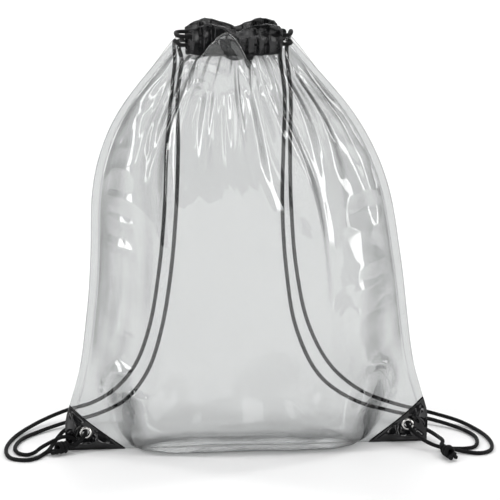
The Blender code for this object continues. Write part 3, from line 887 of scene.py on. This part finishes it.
# ---- Casings ------------------------------------------------------------------------
# Heights of the gathered hem's upper edge, from its left end to its right one
CREST = (
    (-0.053, 0.4225),
    (-0.042, 0.4280),
    (-0.027, 0.4345),
    (-0.010, 0.4310),
    (0.005, 0.4250),
    (0.017, 0.4300),
    (0.030, 0.4340),
    (0.043, 0.4310),
    (0.053, 0.4190),
)
FOOT = {FRONT: 0.4018, BACK: 0.3978}  # heights of its lower edge
OUTERMOST = 0.0262  # of the front casing's middle surface, from the bag's middle
# One gather of the back casing hangs down: its place along the casing, width and length.
HANG_AT, HANG_WIDTH, HANG_LENGTH = 0.0155, 0.0045, 0.013
HEM_THICK = 0.0004


def make_casing(side):
    """A gathered tunnel of cloth, as rings along the neck."""
    label = SIDES[side] + "_casing"
    rings, around = 340, 32
    x = np.linspace(-CASING_LENGTH / 2, CASING_LENGTH / 2, rings)
    seed = 21 if side == FRONT else 22
    crest = np.interp(x, *np.array(CREST).T) + 0.0014 * noise2(x * 110, x * 0 + 4.5, seed + 5)
    foot = FOOT[side] + 0.0022 * noise2(x * 45, x * 0 + 1.5, seed + 6)
    hang = np.exp(-(((x - HANG_AT) / HANG_WIDTH) ** 2)) * (side == BACK)
    points = np.zeros((rings, around, 3))
    for k in range(around):
        a = 2 * np.pi * k / around
        z = math.copysign(abs(math.sin(a)) ** 0.7, math.sin(a))
        y = math.copysign(abs(math.cos(a)) ** 0.6, math.cos(a))
        level = 0.5 + 0.5 * z
        # Two cords run through the tunnel and draw it tight there.
        tight = math.exp(-(((level - 0.52) / 0.2) ** 2))
        thick = 0.0022 + 0.0010 * tight
        lean = (level - 0.1) * 0.0045 * noise2(x * 42, x * 0 + 3.5, seed + 7)
        wave = hem_wave(x + lean, seed)
        above = max(level - 0.5, 0) * 2
        flare = 0.0042 - 0.0012 * above
        puff = 0.0085 * above**0.7 * noise2(x * 40 + 2.5 * level, x * 0 + 2.2 * level, seed + 9)
        crumple = 0.0014 * ridged(x * 62 + 4 * level, x * 20 + 3 * level, seed + 8) * smooth(level * 3)
        crumple = crumple + puff - 0.004 * hang * (1 - level)
        middle = 0.0130 + 0.0045 * math.sin(math.pi * min(level, 0.5)) + 0.002 * level
        points[:, k, 0] = NECK_SHIFT + x + lean * 0.6
        out = middle + flare * wave * (1 - 0.35 * tight) + crumple
        if side == FRONT:
            # The standing fold of film holds this casing back.
            out = OUTERMOST - 0.0015 * np.log1p(np.exp((OUTERMOST - out) / 0.0015))
        points[:, k, 1] = side * out + thick * y
        points[:, k, 2] = foot + (crest - foot) * level - HANG_LENGTH * hang * (1 - level) ** 2
    faces = grid_faces(rings, around, wrap=True)
    made = add_mesh(label + "_hem", points.reshape(-1, 3), faces, HEM_LOOK)
    thicken(made, HEM_THICK, -1)
    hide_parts(label)
    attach(made, "mouth_" + SIDES[side])


for side in (FRONT, BACK):
    make_casing(side)


# ---- Corners ------------------------------------------------------------------------
PATCH_HOLE = 0.0045
PATCH_FACE = GAP / 2 + SOLID_FILM + GAP  # the patches' inner face, from the bag's middle


def lathe(name, profile, x, steps=72):
    """A ring of metal round an eyelet's axis, from its closed (radius, y) profile."""
    angle = 2 * np.pi * np.arange(steps) / steps
    points = [(x + r * math.cos(a), y, EYELET_HEIGHT + r * math.sin(a)) for r, y in profile for a in angle]
    loop = list(range(len(profile))) + [0]
    faces = [
        (a * steps + k, a * steps + (k + 1) % steps, b * steps + (k + 1) % steps, b * steps + k)
        for a, b in zip(loop, loop[1:])
        for k in range(steps)
    ]
    made = add_mesh(name, points, faces, METAL_LOOK)
    bm = bmesh.new()
    bm.from_mesh(made.data)
    bmesh.ops.recalc_face_normals(bm, faces=bm.faces)
    bm.to_mesh(made.data)
    bm.free()
    return made


def rounded(points, radius, steps=4):
    """A closed outline with its corners rounded."""
    made = []
    points = [Vector(p) for p in points]
    for i, p in enumerate(points):
        a, b = points[i - 1] - p, points[(i + 1) % len(points)] - p
        cut = min(radius, a.length * 0.45, b.length * 0.45)
        start, end = p + a.normalized() * cut, p + b.normalized() * cut
        for k in range(steps + 1):
            t = k / steps
            made.append((1 - t) ** 2 * start + 2 * t * (1 - t) * p + t * t * end)
    return [tuple(p) for p in made]


def make_eyelet(hand):
    """The flanged barrel, rolled over at the back, and its washer."""
    label = HANDS[hand]
    face = PATCH_FACE + PATCH_THICK + GAP
    back_face = face + 0.0007 + GAP
    outside = EYELET_BORE + BARREL
    barrel = (
        (EYELET_BORE, -face),
        (EYELET_BORE + 0.0007, -face - 0.0011),
        (EYELET_FLANGE - 0.0012, -face - 0.0011),
        (EYELET_FLANGE, -face - 0.0004),
        (EYELET_FLANGE, -face),
        (outside, -face),
        (outside, back_face),
        (outside + 0.0013, back_face),
        (outside + 0.0012, back_face + 0.0007),
        (EYELET_BORE, back_face + 0.0006),
    )
    ring = (
        (outside + 0.0002, face),
        (EYELET_FLANGE, face),
        (EYELET_FLANGE, face + 0.0007),
        (outside + 0.0002, face + 0.0007),
    )
    for part, profile, soft in (("_eyelet", barrel, 0.0006), ("_eyelet_washer", ring, 0.0002)):
        name = label + part
        made = lathe(name + "_metal", rounded(profile, soft), hand * EYELET_X)
        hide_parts(name)
        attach(made, "bag")


def make_patch(side, hand):
    """A crumpled triangle of sheet, held flat at its edges and round its eyelet."""
    label = f"{HANDS[hand]}_{SIDES[side]}_corner_patch"
    divisions = 60
    outward = PATCH_FACE + PATCH_THICK / 2
    hole_x = hand * EYELET_X
    seed = 40 + 3 * side + hand
    points, index = [], {}
    for i in range(divisions + 1):
        for j in range(divisions + 1 - i):
            up, in_ = PATCH_HEIGHT * i / divisions, PATCH_WIDTH * j / divisions
            half = float(half_width(up))
            x = hand * (half - in_)
            hole = math.hypot(x - hole_x, up - EYELET_HEIGHT)
            edge = min(up, in_, (PATCH_WIDTH - in_ - up * PATCH_WIDTH / PATCH_HEIGHT) * 0.62)
            around = math.atan2(up - EYELET_HEIGHT, x - hole_x)
            ripple = 0.0034 + 0.0046 * float(noise2(np.array(x / 0.014), np.array(up / 0.016), seed + 1))
            ripple += 0.0034 * float(ridged(np.array(around * 1.1 + 9), np.array(hole / 0.03), seed))
            # It stays down under the cord, which runs from the eyelet to the lower corner.
            cord = up - 0.006 - 0.75 * in_
            held = 1 - math.exp(-((cord / 0.006) ** 2)) if in_ < 0.022 else 1
            lift = ripple * held * float(smooth((hole - 0.0066) / 0.007)) * float(smooth(edge / 0.010))
            weld = -0.00022 * math.exp(-(((edge - 0.0022) / 0.0006) ** 2))
            index[i, j] = len(points)
            points.append((x, side * (outward + max(lift, 0) + 0.0001 + weld), up + 0.0001))
    faces = []
    for i in range(divisions):
        for j in range(divisions - i):
            faces.append((index[i, j], index[i, j + 1], index[i + 1, j]))
            if i + j < divisions - 1:
                faces.append((index[i, j + 1], index[i + 1, j + 1], index[i + 1, j]))
    # The eyelet's hole.
    middles = [np.mean([points[v] for v in f], axis=0) - (hole_x, 0, EYELET_HEIGHT) for f in faces]
    faces = [f for f, middle in zip(faces, middles) if math.hypot(middle[0], middle[2]) > PATCH_HOLE]
    used = sorted({v for f in faces for v in f})
    renumber = {v: k for k, v in enumerate(used)}
    points = [points[v] for v in used]
    faces = [tuple(renumber[v] for v in f) for f in faces]
    made = add_mesh(label + "_sheet", points, faces, PATCH_LOOK)
    thicken(made, PATCH_THICK)
    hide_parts(label)
    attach(made, "bag")


for hand in (LEFT, RIGHT):
    make_eyelet(hand)
    for side in (FRONT, BACK):
        make_patch(side, hand)


# ---- Studio -------------------------------------------------------------------------
paint = Nodes("floor_white")
paint.shader.inputs["Base Color"].default_value = (0.92, 0.92, 0.92, 1)
paint.shader.inputs["Roughness"].default_value = 0.9
corners = [(-20, -20, 0), (20, -20, 0), (20, 20, 0), (-20, 20, 0)]
floor = add_mesh("floor", corners, [(0, 1, 2, 3)], paint.material)

# Soft studio light all round: a pale room with a light ceiling and tall strip lights,
# each (turn from the front, half width, lower edge, upper edge, strength) in degrees.
STRIPS = (
    (-72, 5, 2, 58, 6.5),
    (-38, 2, 10, 50, 4.5),
    (14, 7, 12, 34, 2.2),
    (58, 6, 2, 56, 6.0),
    (112, 5, 4, 58, 5.0),
    (-125, 5, 4, 58, 5.0),
    (176, 7, 8, 52, 4.0),
)
ROOM, CEILING = 0.16, 1.42
world = bpy.data.worlds.new("studio")
bpy.context.scene.world = world
world.use_nodes = True


class Studio(Nodes):
    """The same short calls, for the world's nodes."""

    def __init__(self):
        self.tree = world.node_tree


n = Studio()
way = n.add("ShaderNodeSeparateXYZ", {0: n.add("ShaderNodeTexCoord").outputs["Generated"]})
turn = n.math("ARCTAN2", way.outputs[0], n.math("MULTIPLY", way.outputs[1], -1.0))
rise = n.math("ARCSINE", way.outputs[2])
total = n.ramp(rise, math.radians(52), math.radians(64), ROOM, CEILING)
for at, half, low, high, strength in STRIPS:
    off = n.math("WRAP", n.math("SUBTRACT", turn, math.radians(at)), math.pi, -math.pi)
    off = n.math("ABSOLUTE", off)
    across = n.ramp(off, math.radians(half), math.radians(half + 1.5), 1, 0)
    above = n.ramp(rise, math.radians(low - 3), math.radians(low))
    below = n.ramp(rise, math.radians(high), math.radians(high + 4), 1, 0)
    lit = n.math("MULTIPLY", n.math("MULTIPLY", across, above), n.math("MULTIPLY", below, strength))
    total = n.math("ADD", total, lit)
background = world.node_tree.nodes["Background"]
n.put(background.inputs[0], n.add("ShaderNodeCombineColor", {0: total, 1: total, 2: total}))
background.inputs[1].default_value = 1.0
bpy.context.scene.view_settings.view_transform = "Standard"
bpy.context.scene.cycles.transparent_max_bounces = 32
